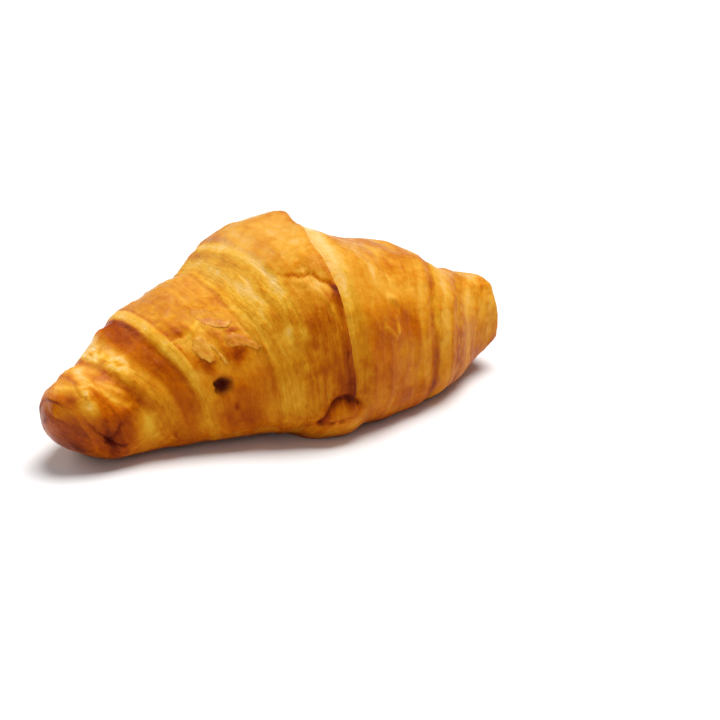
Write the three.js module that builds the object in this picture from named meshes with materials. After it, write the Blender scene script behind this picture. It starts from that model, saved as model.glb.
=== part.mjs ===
import * as THREE from "three";

// A baked butter croissant, in millimetres, resting on the z = 0 plane.
// It is one roll of dough: its spine runs along x and bends toward the front, -y, at the left horn.
// "Along" is a distance on the spine from the fattest place, minus toward the left horn.
// "Around" is an angle in degrees about the spine: 0 front, 90 top, 180 back, -90 underneath.

// The roll's spine
const leftHorn = 85.2;
const rightHorn = 77.4;
const leftTurn = 0.557;
const rightTurn = -0.055;
const leftTurnPower = 1.6;
const rightTurnPower = 1.3;

// The roll's height and width at places along the spine
const loaf = [
  { along: -leftHorn, height: 14.5, width: 17.5 },
  { along: -75.2, height: 21.6, width: 24.3 },
  { along: -62.1, height: 28.1, width: 33.2 },
  { along: -47.9, height: 37.8, width: 44.6 },
  { along: -24.2, height: 43.1, width: 66.0 },
  { along: -6.8, height: 54.8, width: 80.0 },
  { along: 6.8, height: 58.7, width: 82.0 },
  { along: 27.3, height: 51.0, width: 69.1 },
  { along: 45.0, height: 43.4, width: 58.0 },
  { along: 62.5, height: 29.3, width: 34.5 },
  { along: 74.7, height: 22.3, width: 24.5 },
  { along: rightHorn, height: 19.5, width: 21.5 },
];

// Both horns end in a rounded cap
const leftCap = 7.5;
const rightCap = 5.5;

// How far the underside stands off the table: both horns lift, and the middle is pressed flat
const lift = [
  { along: -leftHorn, rise: 11.5 },
  { along: -70, rise: 1.2 },
  { along: -45, rise: -0.3 },
  { along: -8, rise: -0.8 },
  { along: 20, rise: -4.2 },
  { along: 50, rise: -1.2 },
  { along: rightHorn, rise: 7.5 },
];

// The cross-section: a squashed round, widest below its middle and flattest underneath
const beltShare = 0.4;
const topRoundness = 0.9;
const topFullness = 0.8;
const bottomRoundness = 0.62;
const bottomFullness = 0.75;

// The rims of the wound layers. Each is a closed line round the roll, given at seven angles.
// A left rim steps down toward the left horn and a right rim toward the right horn.
const rimAngles = [-60, -30, 20, 65, 105, 180, 240];
const rims = [
  { side: -1, step: 1.8, line: [-81.8, -82.6, -83.4, -83.6, -83.2, -82.0, -81.2] },
  { side: -1, step: 2.3, line: [-73.0, -74.5, -78.8, -80.1, -74.9, -71.5, -70.5] },
  { side: -1, step: 2.4, line: [-50.5, -52.6, -61.8, -66.7, -65.3, -60.0, -58.0] },
  { side: -1, step: 2.6, line: [-39.5, -42.0, -50.5, -54.0, -51.1, -46.5, -48.0] },
  { side: -1, step: 2.4, line: [-17.5, -21.8, -25.9, -22.9, -19.0, -16.0, -23.0] },
  { side: 1, step: 3.6, line: [-5.5, -1.5, -0.2, 1.1, 10.5, 16.0, 14.0] },
  { side: 1, step: 2.2, line: [33.5, 34.2, 35.3, 44.0, 53.0, 56.0, 48.0] },
  { side: 1, step: 2.2, line: [45.0, 45.8, 47.3, 57.6, 67.8, 70.0, 62.0] },
];
const lipSharpness = 1.1;
const lipShare = 0.65;
const lipReach = 9;
const footShare = 0.45;
const footReach = 5.5;

// The tucked tail: a rounded lobe low on the front, inside a seam
const tailAlong = -4.2;
const tailWidth = 15;
const tailTop = -9;
const tailBulge = 3.2;
const seamDepth = 1.3;
const seamWidth = 1.5;

// Small marks in the crust
const dents = [
  { along: -40.2, around: 11, radius: 2.4, depth: 2.4 },
  { along: -76.0, around: -9, radius: 2.0, depth: 1.4 },
  { along: -0.5, around: -38, radius: 1.6, depth: 0.8 },
  { along: -4.5, around: -40, radius: 1.6, depth: 0.8 },
];
const flakes = [
  { along: -43.3, around: 57, long: 4.5, wide: 3.0, thick: 0.9 },
  { along: -37.6, around: 58, long: 4.0, wide: 3.0, thick: 0.8 },
  { along: -31.6, around: 58, long: 4.0, wide: 3.0, thick: 0.8 },
  { along: -41.5, around: 38, long: 6.0, wide: 2.6, thick: 1.0 },
  { along: -32.0, around: 36, long: 5.0, wide: 3.0, thick: 1.0 },
];
const crackLine = { from: [-10.5, 60], to: [-0.8, 40], depth: 0.9, width: 1.6 };

// The mesh: rings follow the rims, four to a rim and the rest between them
const ringOffsets = [-1.5, -0.5, 0.5, 1.5];
const ringsBetween = [1, 4, 4, 9, 9, 12, 4];
const leftCapRings = 4;
const rightCapRings = 8;
const around = 61;
const frontDensity = 0.25;
const densestAngle = 40;
const spineSteps = 800;

const radians = THREE.MathUtils.degToRad;
const lerp = THREE.MathUtils.lerp;
const soften = (t) => THREE.MathUtils.smoothstep(t, 0, 1);

// A smooth curve through stations that never overshoots them
function curveThrough(xs, ys) {
  const gaps = xs.slice(1).map((x, i) => x - xs[i]);
  const slopes = gaps.map((gap, i) => (ys[i + 1] - ys[i]) / gap);
  const tangents = xs.map((x, i) => {
    if (i === 0) return slopes[0];
    if (i === xs.length - 1) return slopes[i - 1];
    if (slopes[i - 1] * slopes[i] <= 0) return 0;
    const before = 2 * gaps[i] + gaps[i - 1];
    const after = gaps[i] + 2 * gaps[i - 1];
    return (before + after) / (before / slopes[i - 1] + after / slopes[i]);
  });
  return (x) => {
    let i = 0;
    while (i < gaps.length - 1 && x >= xs[i + 1]) i += 1;
    const t = THREE.MathUtils.clamp((x - xs[i]) / gaps[i], 0, 1);
    const from = (1 + 2 * t) * (1 - t) ** 2 * ys[i] + t * (1 - t) ** 2 * gaps[i] * tangents[i];
    const to = t * t * (3 - 2 * t) * ys[i + 1] + t * t * (t - 1) * gaps[i] * tangents[i + 1];
    return from + to;
  };
}

const fullHeightAt = curveThrough(loaf.map((l) => l.along), loaf.map((l) => l.height));
const fullWidthAt = curveThrough(loaf.map((l) => l.along), loaf.map((l) => l.width));
const riseAt = curveThrough(lift.map((l) => l.along), lift.map((l) => l.rise));

// A quarter round over each cap's length
function capAt(along) {
  const left = Math.min(1, (along + leftHorn) / leftCap);
  const right = Math.min(1, (rightHorn - along) / rightCap);
  return Math.sqrt(1 - (1 - left) ** 2) * Math.sqrt(1 - (1 - right) ** 2);
}

const heightAt = (along) => fullHeightAt(along) * capAt(along);
const widthAt = (along) => fullWidthAt(along) * capAt(along);
const capRiseAt = (along) => fullHeightAt(along) * beltShare * (1 - capAt(along));

// A rim's line closes on itself, so its first and last stations are repeated one turn away
const rimLines = rims.map((rim) => {
  const last = rimAngles.length - 1;
  const angles = [rimAngles[last] - 360, ...rimAngles, rimAngles[0] + 360];
  return curveThrough(angles, [rim.line[last], ...rim.line, rim.line[0]]);
});

function headingAt(along) {
  if (along < 0) return leftTurn * (-along / leftHorn) ** leftTurnPower;
  return -rightTurn * (along / rightHorn) ** rightTurnPower;
}

// The spine's points, summed step by step outward from the fattest place
function spineAt(along) {
  const point = new THREE.Vector2();
  const step = along / spineSteps;
  for (let i = 0; i < spineSteps; i += 1) {
    const heading = headingAt((i + 0.5) * step);
    point.x += Math.cos(heading) * step;
    point.y += Math.sin(heading) * step;
  }
  return point;
}

// Distance over the crust, in millimetres, between two places
function apart(along, angle, place) {
  const girth = heightAt(place.along) * 0.5 + widthAt(place.along) * 0.25;
  return { x: along - place.along, y: radians(angle - place.around) * girth };
}

// The steps at the rims: the upper layer ends in a lip and the lower one starts in a foot
function steps(along, angle) {
  return rims.reduce((sum, rim, i) => {
    const onto = (along - rimLines[i](angle)) * -rim.side;
    const [share, reach] = onto > 0 ? [lipShare, lipReach] : [footShare, footReach];
    return sum + rim.step * share * Math.tanh(onto / lipSharpness) * Math.exp(-Math.abs(onto) / reach);
  }, 0);
}

function tail(along, angle) {
  const across = Math.abs(along - tailAlong) / (tailWidth / 2);
  const below = (tailTop - angle) / 14;
  const lobe = Math.exp(-(across ** 4)) * soften(below) * soften((angle + 88) / 25);
  const ring = Math.max(across, 1 - below) - 1;
  const fromSeam = (ring * tailWidth) / 2 / seamWidth;
  const seam = Math.exp(-(fromSeam ** 2)) * soften((angle + 62) / 20) * soften((40 - angle) / 20);
  return tailBulge * lobe - seamDepth * seam;
}

function marks(along, angle) {
  let height = 0;
  for (const dent of dents) {
    const off = apart(along, angle, dent);
    height -= dent.depth * Math.exp(-((Math.hypot(off.x, off.y) / dent.radius) ** 2));
  }
  for (const flake of flakes) {
    const off = apart(along, angle, flake);
    height += flake.thick * Math.exp(-((off.x / flake.wide) ** 4) - (off.y / flake.long) ** 4);
  }
  const [fromAlong, fromAngle] = crackLine.from;
  const [toAlong, toAngle] = crackLine.to;
  const t = THREE.MathUtils.clamp((along - fromAlong) / (toAlong - fromAlong), 0, 1);
  const nearest = { along: lerp(fromAlong, toAlong, t), around: lerp(fromAngle, toAngle, t) };
  const off = apart(along, angle, nearest);
  height -= crackLine.depth * Math.exp(-((Math.hypot(off.x, off.y * 0.8) / crackLine.width) ** 2));
  return height;
}

// A point of the crust
function crust(along, angle) {
  const spine = spineAt(along);
  const heading = headingAt(along);
  const cos = Math.cos(radians(angle));
  const sin = Math.sin(radians(angle));
  const height = heightAt(along);
  const belt = height * beltShare;
  const upper = sin > 0;
  const fullness = upper ? topFullness : bottomFullness;
  const out = (Math.sign(cos) * Math.abs(cos) ** fullness * widthAt(along)) / 2;
  const up = upper
    ? (height - belt) * sin ** topRoundness
    : -belt * Math.abs(sin) ** bottomRoundness;
  const size = 0.35 + 0.65 * Math.min(1, height / 30);
  const clearOfTable = 0.15 + 0.85 * soften((sin + 0.95) / 0.6);
  const raised = steps(along, angle) * size * clearOfTable + tail(along, angle) + marks(along, angle);
  const aside = out + raised * cos;
  return new THREE.Vector3(
    spine.x + aside * Math.sin(heading),
    spine.y - aside * Math.cos(heading),
    Math.max(riseAt(along) + capRiseAt(along) + belt + up + raised * sin, 0),
  );
}

// The very end of a horn, on the spine
function hornEnd(along) {
  const spine = spineAt(along);
  return new THREE.Vector3(spine.x, spine.y, riseAt(along) + capRiseAt(along));
}

// Each ring is a line round the roll: on a cap, beside a rim, or a share of the way between two rims
function ringLines() {
  const lines = [];
  const side = ringOffsets.length / 2;
  const outward = ringOffsets[ringOffsets.length - 1];
  for (let i = 0; i < leftCapRings; i += 1) {
    const share = ((i + 1) / (leftCapRings + 1)) ** 2;
    lines.push((a) => lerp(-leftHorn, rimLines[0](a) + ringOffsets[side - 1], share));
  }
  rimLines.forEach((rim, gap) => {
    const skipped = gap === 0 ? side - 1 : 0;
    ringOffsets.slice(skipped).forEach((offset) => lines.push((a) => rim(a) + offset));
    if (gap === rimLines.length - 1) return;
    for (let i = 1; i <= ringsBetween[gap]; i += 1) {
      const share = i / (ringsBetween[gap] + 1);
      lines.push((a) => lerp(rim(a) + outward, rimLines[gap + 1](a) - outward, share));
    }
  });
  for (let i = rightCapRings; i > 0; i -= 1) {
    const share = (i / (rightCapRings + 1)) ** 2;
    lines.push((a) => lerp(rightHorn, rimLines[rimLines.length - 1](a) + outward, share));
  }
  return lines;
}

function crustGeometry() {
  const lines = ringLines();
  const points = [];
  const faces = [];
  lines.forEach((line) => {
    for (let j = 0; j < around; j += 1) {
      const even = -90 + (360 * j) / around;
      const turn = Math.sin(radians(even - densestAngle));
      const angle = even - THREE.MathUtils.radToDeg(frontDensity * turn);
      const wrapped = angle >= 270 ? angle - 360 : angle;
      points.push(crust(line(wrapped), wrapped));
    }
  });
  const at = (ring, j) => ring * around + (j % around);
  for (let ring = 0; ring < lines.length - 1; ring += 1) {
    for (let j = 0; j < around; j += 1) {
      faces.push(at(ring, j), at(ring + 1, j), at(ring, j + 1));
      faces.push(at(ring, j + 1), at(ring + 1, j), at(ring + 1, j + 1));
    }
  }
  [0, lines.length - 1].forEach((ring) => {
    const pole = points.push(hornEnd(ring === 0 ? -leftHorn : rightHorn)) - 1;
    for (let j = 0; j < around; j += 1) {
      if (ring === 0) faces.push(pole, at(ring, j), at(ring, j + 1));
      else faces.push(pole, at(ring, j + 1), at(ring, j));
    }
  });
  const geometry = new THREE.BufferGeometry().setFromPoints(points);
  geometry.setIndex(faces);
  geometry.computeBoundingBox();
  const middle = geometry.boundingBox.getCenter(new THREE.Vector3());
  geometry.translate(-middle.x, -middle.y, -geometry.boundingBox.min.z);
  geometry.computeVertexNormals();
  return geometry;
}

const baked = new THREE.MeshStandardMaterial({ color: 0xc98a2e, roughness: 0.5, metalness: 0 });
const croissant = new THREE.Mesh(crustGeometry(), baked);
croissant.name = "croissant";

const part = new THREE.Group();
part.name = "croissant_part";
part.add(croissant);

export default part;
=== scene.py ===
import math

import bpy
import numpy as np
from mathutils import Matrix, Vector


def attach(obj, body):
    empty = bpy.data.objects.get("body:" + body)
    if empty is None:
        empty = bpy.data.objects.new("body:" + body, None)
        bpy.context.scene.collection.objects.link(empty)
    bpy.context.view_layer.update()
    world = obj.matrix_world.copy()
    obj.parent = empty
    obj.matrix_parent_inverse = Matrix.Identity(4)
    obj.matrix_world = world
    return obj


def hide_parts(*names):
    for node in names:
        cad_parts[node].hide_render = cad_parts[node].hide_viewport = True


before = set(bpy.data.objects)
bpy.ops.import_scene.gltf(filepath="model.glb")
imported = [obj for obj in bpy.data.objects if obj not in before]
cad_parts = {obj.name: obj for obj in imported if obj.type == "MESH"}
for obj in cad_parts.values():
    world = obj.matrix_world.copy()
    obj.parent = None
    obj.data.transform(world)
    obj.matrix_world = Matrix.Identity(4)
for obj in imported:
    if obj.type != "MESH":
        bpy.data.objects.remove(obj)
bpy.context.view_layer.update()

# The croissant is worked out in millimetres. "Along" is a distance on the roll's spine from the fattest
# place, minus toward the left horn. "Around" is an angle in degrees: 0 front, 90 top, 180 back, -90 below.

# Where the spine's fattest place lies in the part's frame
MIDDLE = (3.060, 0.430)

# How far each horn reaches along the spine, and how it turns, in radians and as a power of the way out
LEFT_HORN = 85.2
RIGHT_HORN = 77.4
LEFT_TURN = 0.557
RIGHT_TURN = -0.055
LEFT_TURN_POWER = 1.6
RIGHT_TURN_POWER = 1.3

# The loaf's height and width at places along it, and how far its rounded ends reach
LOAF_ALONG = (-LEFT_HORN, -75.2, -62.1, -47.9, -24.2, -6.8, 6.8, 27.3, 45, 62.5, 74.7, RIGHT_HORN)
LOAF_HEIGHT = (12.5, 21.6, 28.1, 37.8, 43.1, 54.8, 58.7, 51, 43.4, 29.3, 22.3, 19.5)
LOAF_WIDTH = (15.5, 24.3, 33.2, 44.6, 66, 80, 82, 69.1, 58, 34.5, 24.5, 21.5)
LEFT_CAP = 8.5
RIGHT_CAP = 4.4
# How far the underside is lifted off the table: where minus, the table presses it flat
LIFT_ALONG = (-LEFT_HORN, -70, -45, -8, 20, 50, RIGHT_HORN)
LIFT_RISE = (12.6, 1.2, -0.3, -0.8, -4.2, -1.2, 7.5)

# The section: how high its widest place is, and the powers that round its upper and lower halves
BELT_SHARE = 0.4
TOP_ROUNDNESS = 0.9
TOP_FULLNESS = 0.8
BOTTOM_ROUNDNESS = 0.62
BOTTOM_FULLNESS = 0.75

# The rims of the wound layers. Each has the side that it faces, the height of its step, and a closed line
# round the roll, given by places along it at seven angles
RIM_ANGLES = (-60, -30, 20, 65, 105, 180, 240)
RIMS = (
    (-1, 1.4, (-77.2, -80, -83.4, -83.9, -83.4, -78.8, -76.6)),
    (-1, 1.4, (-73, -74.5, -78.8, -80.1, -74.9, -71.5, -70.5)),
    (-1, 1.6, (-50.5, -52.6, -61.8, -66.7, -65.3, -60, -58)),
    (-1, 2.2, (-39.5, -42, -49.5, -54, -51.1, -46.5, -48)),
    (-1, 2.4, (-17.5, -21.8, -25.9, -22.9, -19, -16, -23)),
    (1, 3.6, (-5.5, -1.5, -0.2, 1.1, 10.5, 16, 14)),
    (1, 1.3, (33.5, 34.2, 35.3, 44, 53, 56, 48)),
    (1, 1.2, (45, 45.8, 47.3, 57.6, 67.8, 70, 62)),
)
TIP_RIM, FOURTH_RIM, THIRD_RIM, SECOND_RIM, FIRST_RIM, FIRST_RIGHT, SECOND_RIGHT, THIRD_RIGHT = range(8)
# For each rim: the width of its step, how ragged it is, and how much of it sinks on the lower side
RIM_SOFTNESS = (0.15, 1.2, 1.4, 1.1, 3.2, 0.6, 1.5, 1.6)
RIM_WAVES = (0.2, 0.8, 1, 0.8, 1, 0.8, 0.8, 0.8)
RIM_FOOT = (0.4, 0.35, 0.4, 0.12, 0.3, 0.45, 0.4, 0.4)
# The first right rim bulges beside the tail's top: the angle, the degrees that it spans, and how far
RIGHT_BULGE = (-8, 22, 2.8)

# How many times longer than wide a streak in the crust is
STREAK_LENGTH = 8.0

# Lines in the first left opening at the same seven angles: where the lower skin ends, and the cap's edge
OPENING_FOOT = (-17, -20, -24.3, -27, -23.6, -20.5, -22.5)
OPENING_HEAD = (-9, -7, -11.4, -12.6, -12.9, -8.6, -8)
# Each of its ledges, as a share of the way from foot to head, and its step
LEDGES = ((0, 0.40), (0.2, 0.30), (0.64, 0.40))
LEDGE_REACH = 2.4
LEDGE_SOFTNESS = 0.3
CAP_STEP = 1.0

# The share of a rim's step that rises on the upper layer, and how far lip and foot reach from the rim
LIP_SHARE = 0.6
LIP_REACH = 9.0
FOOT_REACH = 5.5

# The tucked tail of the dough: its middle and width along the roll, the angle of its top, and its bulge
TAIL_ALONG = -2.4
TAIL_WIDTH = 17.6
TAIL_TOP = -8.5
TAIL_BULGE = 4.0

# The crust's mesh: its rings, which crowd toward the ends, and the points in each, toward the upper front
RINGS = 440
AROUND = 224
UPPER_FRONT = 70
FRONT_CROWDING = 0.28
END_CROWDING = 1.8
SHARP_RIMS = [i for i, softness in enumerate(RIM_SOFTNESS) if softness < 1]


def smooth(t):
    t = np.clip(t, 0.0, 1.0)
    return t * t * (3.0 - 2.0 * t)


def bell(x, width):
    return np.exp(-((x / width) ** 2))


def within(value, low, high, soft):
    """1 between low and high, falling to 0 over a soft width at both ends."""
    return smooth((value - low) / soft + 0.5) * smooth((high - value) / soft + 0.5)


def through(xs, ys, x):
    """A smooth curve through stations that never overshoots them."""
    xs, ys = np.asarray(xs, float), np.asarray(ys, float)
    x = np.asarray(x, float)
    gaps = np.diff(xs)
    slopes = np.diff(ys) / gaps
    tangents = np.zeros(len(xs))
    tangents[0], tangents[-1] = slopes[0], slopes[-1]
    for i in range(1, len(xs) - 1):
        if slopes[i - 1] * slopes[i] > 0:
            before = 2 * gaps[i] + gaps[i - 1]
            after = gaps[i] + 2 * gaps[i - 1]
            tangents[i] = (before + after) / (before / slopes[i - 1] + after / slopes[i])
    i = np.clip(np.searchsorted(xs, x, side="right") - 1, 0, len(xs) - 2)
    t = np.clip((x - xs[i]) / gaps[i], 0.0, 1.0)
    start = (1 + 2 * t) * (1 - t) ** 2 * ys[i] + t * (1 - t) ** 2 * gaps[i] * tangents[i]
    end = t * t * (3 - 2 * t) * ys[i + 1] + t * t * (t - 1) * gaps[i] * tangents[i + 1]
    return start + end


# Seeded noise: the same value at the same place on every run
def lattice(i, j, k, seed):
    h = i.astype(np.uint32) * np.uint32(73856093)
    h ^= j.astype(np.uint32) * np.uint32(19349663)
    h ^= k.astype(np.uint32) * np.uint32(83492791)
    h ^= np.uint32((seed * 2654435761) & 0xFFFFFFFF)
    h = (h ^ (h >> np.uint32(15))) * np.uint32(2246822519)
    h = (h ^ (h >> np.uint32(13))) * np.uint32(3266489917)
    h = h ^ (h >> np.uint32(16))
    return (h & np.uint32(0xFFFF)).astype(float) / 65535.0


def noise(x, y, z, seed, octaves=3):
    """Value noise from about -1 to 1."""
    total = np.zeros(np.broadcast(x, y, z).shape)
    places = [np.broadcast_to(np.asarray(c, float), total.shape) for c in (x, y, z)]
    weight, whole = 1.0, 0.0
    for octave in range(octaves):
        p = [c * 2.0 ** octave + 17.3 * octave for c in places]
        base = [np.floor(c).astype(np.int64) for c in p]
        f = [smooth(c - b) for c, b in zip(p, base)]
        value = np.zeros(total.shape)
        for corner in range(8):
            step = (corner & 1, corner >> 1 & 1, corner >> 2 & 1)
            share = np.ones(total.shape)
            for axis in range(3):
                share = share * (f[axis] if step[axis] else 1 - f[axis])
            value += share * lattice(base[0] + step[0], base[1] + step[1], base[2] + step[2], seed + octave)
        total += weight * (value * 2 - 1)
        whole += weight
        weight *= 0.5
    return total / whole * 1.6


# The roll
def heading_at(along):
    left = LEFT_TURN * (np.clip(-along, 0, None) / LEFT_HORN) ** LEFT_TURN_POWER
    right = -RIGHT_TURN * (np.clip(along, 0, None) / RIGHT_HORN) ** RIGHT_TURN_POWER
    return np.where(along < 0, left, right)


SPINE_ALONG = np.linspace(-LEFT_HORN, RIGHT_HORN, 4001)
SPINE_HEADING = heading_at(0.5 * (SPINE_ALONG[1:] + SPINE_ALONG[:-1]))
SPINE_STEP = SPINE_ALONG[1] - SPINE_ALONG[0]
SPINE_X = np.concatenate([[0.0], np.cumsum(np.cos(SPINE_HEADING) * SPINE_STEP)])
SPINE_Y = np.concatenate([[0.0], np.cumsum(np.sin(SPINE_HEADING) * SPINE_STEP)])
SPINE_X += MIDDLE[0] - np.interp(0.0, SPINE_ALONG, SPINE_X)
SPINE_Y += MIDDLE[1] - np.interp(0.0, SPINE_ALONG, SPINE_Y)


def cap_at(along):
    left = np.clip((along + LEFT_HORN) / LEFT_CAP, 0.0, 1.0)
    right = np.clip((RIGHT_HORN - along) / RIGHT_CAP, 0.0, 1.0)
    return np.sqrt(1 - (1 - left) ** 2) * np.sqrt(1 - (1 - right) ** 2)


def height_at(along):
    return through(LOAF_ALONG, LOAF_HEIGHT, along) * cap_at(along)


def width_at(along):
    return through(LOAF_ALONG, LOAF_WIDTH, along) * cap_at(along)


def rise_at(along):
    cap_rise = through(LOAF_ALONG, LOAF_HEIGHT, along) * BELT_SHARE * (1 - cap_at(along))
    return through(LIFT_ALONG, LIFT_RISE, along) + cap_rise


def girth_at(along):
    """The roll's mean radius of curvature where it shows: millimetres of crust for each radian around."""
    return height_at(along) * 0.32 + width_at(along) * 0.31


def circle(angle, radius):
    turn = np.radians(angle)
    return radius * np.cos(turn), radius * np.sin(turn)


def closed_line(stations, angle):
    """A line round the roll through stations given at the seven angles."""
    angles = (RIM_ANGLES[-1] - 360,) + RIM_ANGLES + (RIM_ANGLES[0] + 360,)
    return through(angles, (stations[-1],) + tuple(stations) + (stations[0],), angle)


def ragged_rim(index, angle):
    """A rim's line with the small waves that the torn edge of the dough has."""
    cx, cy = circle(angle, 2.2)
    fx, fy = circle(angle, 9.0)
    wave = 0.45 * noise(cx, cy, 3.1 * index, 11, 2) + 0.14 * noise(fx, fy, 5.7 * index, 12, 2)
    line = closed_line(RIMS[index][2], angle) + wave * RIM_WAVES[index]
    if index == FIRST_RIGHT:
        line = line + RIGHT_BULGE[2] * bell(angle - RIGHT_BULGE[0], RIGHT_BULGE[1])
    return line


def onto_rim(index, along, angle):
    """Distance onto the upper layer from a rim: minus on the layer below."""
    return (along - ragged_rim(index, angle)) * -RIMS[index][0]


def opening(along, angle):
    """The share of the way from the opening's foot to its head, and the distance between them."""
    foot, head = closed_line(OPENING_FOOT, angle), closed_line(OPENING_HEAD, angle)
    return (along - foot) / (head - foot), head - foot


def wound(along, angle):
    """A coordinate along the roll whose lines of equal value run with the layers."""
    tables = [RIMS[i][2] for i in range(FIRST_RIM)] + [OPENING_FOOT, OPENING_HEAD]
    tables += [RIMS[i][2] for i in range(FIRST_RIGHT, len(RIMS))]
    ends = (-LEFT_HORN - 2.0, RIGHT_HORN + 2.0)
    lines = [np.full(np.shape(angle), ends[0])]
    lines += [closed_line(table, angle) for table in tables]
    lines += [np.full(np.shape(angle), ends[1])]
    means = [ends[0]] + [float(np.mean(table)) for table in tables] + [ends[1]]
    out = np.zeros(np.shape(angle))
    for i in range(len(lines) - 1):
        share = (along - lines[i]) / (lines[i + 1] - lines[i])
        inside = (share >= 0) & (share <= 1)
        out = np.where(inside, means[i] + share * (means[i + 1] - means[i]), out)
    return out


def apart(along, angle, place):
    """Distances over the crust from a place: along the roll, and around it."""
    girth = float(girth_at(np.array(place[0])))
    return along - place[0], np.radians(angle - place[1]) * girth


def near(along, angle, place, radius, squash=1.0, sharp=1):
    """1 at a place, falling to 0 past a radius.

    A squash under 1 lengthens the reach around the roll, and a sharp over 1 makes the edge crisper.
    """
    dx, dy = apart(along, angle, place)
    return np.exp(-(((dx ** 2 + (dy * squash) ** 2) / radius ** 2) ** sharp))


def along_line(along, angle, points, width):
    """Where the crust's points lie by a broken line of places.

    How near each is, 1 on the line, its distance to the line's left, and the share of the way along it.
    """
    best = np.full(np.broadcast(along, angle).shape, 1e9)
    beside = np.zeros(best.shape)
    way = np.zeros(best.shape)
    spans = len(points) - 1
    for n in range(spans):
        (a0, g0), (a1, g1) = points[n], points[n + 1]
        dx0, dy0 = apart(along, angle, (a0, g0))
        dx1, dy1 = apart(np.array(a1), np.array(g1), (a0, g0))
        length = dx1 ** 2 + dy1 ** 2
        t = np.clip((dx0 * dx1 + dy0 * dy1) / length, 0, 1)
        gap = np.sqrt((dx0 - t * dx1) ** 2 + (dy0 - t * dy1) ** 2)
        closer = gap < best
        side = np.sign(dx1 * dy0 - dy1 * dx0)
        beside = np.where(closer, side * gap, beside)
        way = np.where(closer, (n + t) / spans, way)
        best = np.minimum(best, gap)
    return bell(best, width), beside, way


def ledge(distance, step, reach):
    """A sharp step between two layers: up on the plus side, down on the minus side, level again past it."""
    return 0.5 * step * np.tanh(distance / LEDGE_SOFTNESS) * np.exp(-np.abs(distance) / reach)


# Marks in the crust, as (along, around) places
CRUST_HOLE = (-38.8, 11.3)
DARK_PIT = (-75.3, -6.3)
SEAM_PITS = ((-9.1, -24.3), (-6.4, -23.1), (-3.1, -22.5))
CRACK = (
    (-13.2, 69), (-12, 63), (-9.8, 58.1), (-7.9, 56), (-4.5, 54.2), (-3.3, 49.1), (-1.2, 45.2),
    (-0.3, 38.5),
)
TAIL_SEAM = (
    (-10, -22.5), (-8.1, -17.1), (-6.6, -13.8), (-4.7, -9.6), (-3.5, -7.8), (-1.7, -7.3), (1, -9.3),
    (3, -12.6), (4.6, -15.5), (6.6, -20),
)
KNOB_CREASE = ((3, -12.6), (3, -16), (0.5, -19.5), (-3.5, -20.5), (-9, -22.5))
PIT_CREASES = (
    (DARK_PIT, (-73, 3), (-72.2, 10)),
    (DARK_PIT, (-78.4, -4), (-80.4, 2)),
    (DARK_PIT, (-72.2, -11), (-69.5, -10)),
    (DARK_PIT, (-76.6, -16)),
)
# Fine raised folds in the thin skin
LEFT_FOLD = ((-38, 64), (-41.5, 57), (-45.6, 50))
LEFT_FOLD_END = ((-50.2, 52.6), (-47.5, 52.4), (-45.6, 50))
TIP_FOLD = ((-72.3, 90.8), (-77.1, 71.9), (-79.4, 52.7), (-79.6, 36.5))
RIGHT_FOLD = ((19.6, 29), (20, 23), (19.6, 17))
RIGHT_FOLD_END = ((13.5, 22.5), (16.5, 18.5), (19.2, 15))
CAP_FOLD = ((-9.5, 54), (-5.5, 44), (-3.6, 33), (-3, 24))
CAP_TOP_FOLD = ((-14, 83), (-16, 98), (-17.5, 112))
FOLDS = (LEFT_FOLD, LEFT_FOLD_END, TIP_FOLD, RIGHT_FOLD, RIGHT_FOLD_END, CAP_FOLD, CAP_TOP_FOLD)
BLISTERS = (
    # along, around, radius, rise, where minus is a hollow
    (-34, 92, 7, 0.6), (-43, 118, 6, 0.6), (-31, 135, 8, 0.8), (-8, 104, 8, 0.5), (-3, 118, 8, 0.6),
    (14, 60, 9, 0.7), (24, 35, 7, 0.7), (22, 88, 9, 0.6), (33, 66, 6, 0.6), (12, 150, 10, 0.8),
    (28, 130, 8, 0.8), (38, 112, 7, 0.6), (-60, 110, 5, 0.5), (-57, 70, 5, 0.5), (-58, 20, 6, 0.5),
    (-71, 60, 4, 0.5), (-70, 20, 5, 0.5), (50, 75, 6, 0.5), (52, 40, 6, 0.5), (66, 60, 5, 0.4),
    (70, 30, 5, 0.4), (-28, 165, 8, 0.7), (2, 175, 9, 0.7), (30, 175, 8, 0.6), (-50, 160, 6, 0.6),
    (-33, -12, 9, 0.5), (-30, 8, 8, 0.5), (-7, 92, 4, 0.5), (-8, 74, 3.5, 0.5), (-4, 62, 4, 0.5),
    (21, 38, 3.5, 0.7), (36, 50, 4, 0.5), (-45, 62, 5, 0.5), (-36, 74, 6, 0.5), (-42, 85, 5, 0.4),
    (-29, 109, 10, 2.4), (-20, 130, 8, 0.9), (-2, 88, 11, -1), (-57, 110, 6, 2.2), (-66.5, 112, 5, 0.4),
    (-38, 98, 8, 2.4), (5, 93, 8, -1.9), (-72, 112, 6, 1.6), (22, 93, 10, -1.3), (42, 98, 8, 1.2),
    (71, 95, 6, -0.8), (74, 56, 5, 1), (-83.5, 150, 4, -1),
)


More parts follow.
